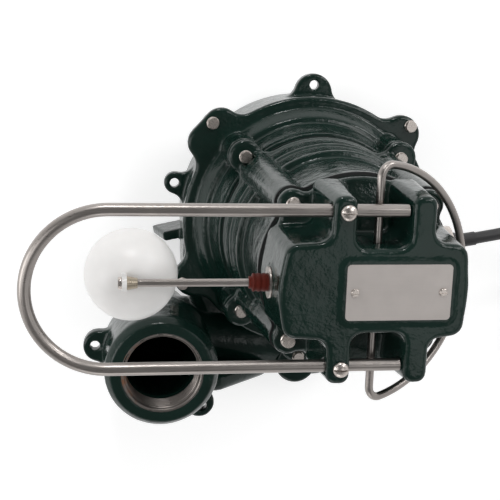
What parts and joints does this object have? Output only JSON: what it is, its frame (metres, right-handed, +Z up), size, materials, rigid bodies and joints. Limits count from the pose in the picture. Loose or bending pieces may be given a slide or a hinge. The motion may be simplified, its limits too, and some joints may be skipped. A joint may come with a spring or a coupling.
{
  "type": "submersible sump pump",
  "caption": "Upright submersible sump pump with a volute casing, a vertical threaded discharge, a float switch in a guard loop, a carrying bail and a power cord.",
  "frame": {"origin": "on the floor, under the middle of the box of the pump without its cord", "axes": "+Z up along the motor shaft and the discharge; -X towards the float; +Y away from the discharge"},
  "size_m": [0.5894, 0.2978, 0.3107],
  "materials": {
    "green_enamel": "glossy enamel over a sand casting",
    "stainless_rod": "drawn stainless rod",
    "stainless_bolts": "bright stainless fasteners",
    "black_gasket": "compressed gasket",
    "white_float": "moulded, slightly translucent",
    "arm_collar_steel": "turned stainless",
    "red_rubber": "soft moulded rubber",
    "plate_aluminium": "satin sheet",
    "cord_jacket": "satin jacket",
    "plug_brass": "plain",
    "switch_phenolic": "moulded",
    "switch_button": "moulded",
    "shaft_steel": "ground",
    "lamination_steel": "stacked sheet",
    "rotor_aluminium": "die cast",
    "copper_winding": "varnished copper wire",
    "bracket_iron": "machined casting",
    "seal_ceramic": "lapped ceramic",
    "seal_carbon": "lapped carbon",
    "seal_rubber": "moulded rubber",
    "wire_insulation": "thin plastic"
  },
  "bodies": {
    "root": {"volute_casing": "green_enamel", "cover_plate": "green_enamel", "motor_housing": "green_enamel", "top_cap": "green_enamel", "guard_loop": "stainless_rod", "volute_bolts": "stainless_bolts", "housing_bolts": "stainless_bolts", "cap_bolts": "stainless_bolts", "guard_screws": "stainless_bolts", "nameplate_screws": "stainless_bolts", "boot_plate": "stainless_bolts", "arm_pivot_pin": "stainless_bolts", "bracket_snap_ring": "stainless_bolts", "gland_nut": "stainless_bolts", "volute_gasket": "black_gasket", "cap_gasket": "black_gasket", "housing_o_ring": "black_gasket", "arm_boot": "red_rubber", "nameplate": "plate_aluminium", "cord_lead": "cord_jacket", "cord_coil": "cord_jacket", "plug_body": "cord_jacket", "strain_relief": "cord_jacket", "plug_blades": "plug_brass", "switch_body": "switch_phenolic", "thermal_protector": "switch_phenolic", "lower_bearing_outer": "shaft_steel", "upper_bearing_outer": "shaft_steel", "stator_core": "lamination_steel", "stator_windings": "copper_winding", "upper_bracket": "bracket_iron", "seal_seat": "seal_ceramic", "lead_wires": "wire_insulation"},
    "rotor": {"motor_shaft": "shaft_steel", "rotor_core": "lamination_steel", "rotor_end_rings": "rotor_aluminium", "lower_bearing_inner": "shaft_steel", "upper_bearing_inner": "shaft_steel", "impeller": "bracket_iron", "impeller_nut": "shaft_steel", "seal_head": "seal_carbon", "seal_bellows": "seal_rubber"},
    "float": {"float_arm": "stainless_rod", "arm_end_nut": "stainless_bolts", "float_ball": "white_float", "arm_collar": "arm_collar_steel"},
    "plunger": {"switch_plunger": "switch_button"},
    "handle": {"carrying_bail": "stainless_rod"}
  },
  "joints": [
    {"name": "rotor_spin", "type": "hinge", "parent": "root", "child": "rotor", "pos_m": [0.05125, 0.01759, 0.2], "axis": [0, 0, 1], "continuous": true},
    {"name": "float_pivot", "type": "hinge", "parent": "root", "child": "float", "pos_m": [-0.00475, 0.01759, 0.282], "axis": [0, 1, 0], "range_deg": [0, 20], "deforming": ["arm_boot"]},
    {"name": "switch_plunger_slide", "type": "slide", "parent": "root", "child": "plunger", "axis": [0, 0, -1], "range_m": [0, 0.0062]},
    {"name": "handle_pivot", "type": "hinge", "parent": "root", "child": "handle", "pos_m": [0.05425, 0.01759, 0.29], "axis": [0, -1, 0], "range_deg": [0, 188.5]}
  ],
  "couplings": [
    {"joint": "switch_plunger_slide", "follows": "float_pivot", "m_per_rad": 0.0175}
  ]
}
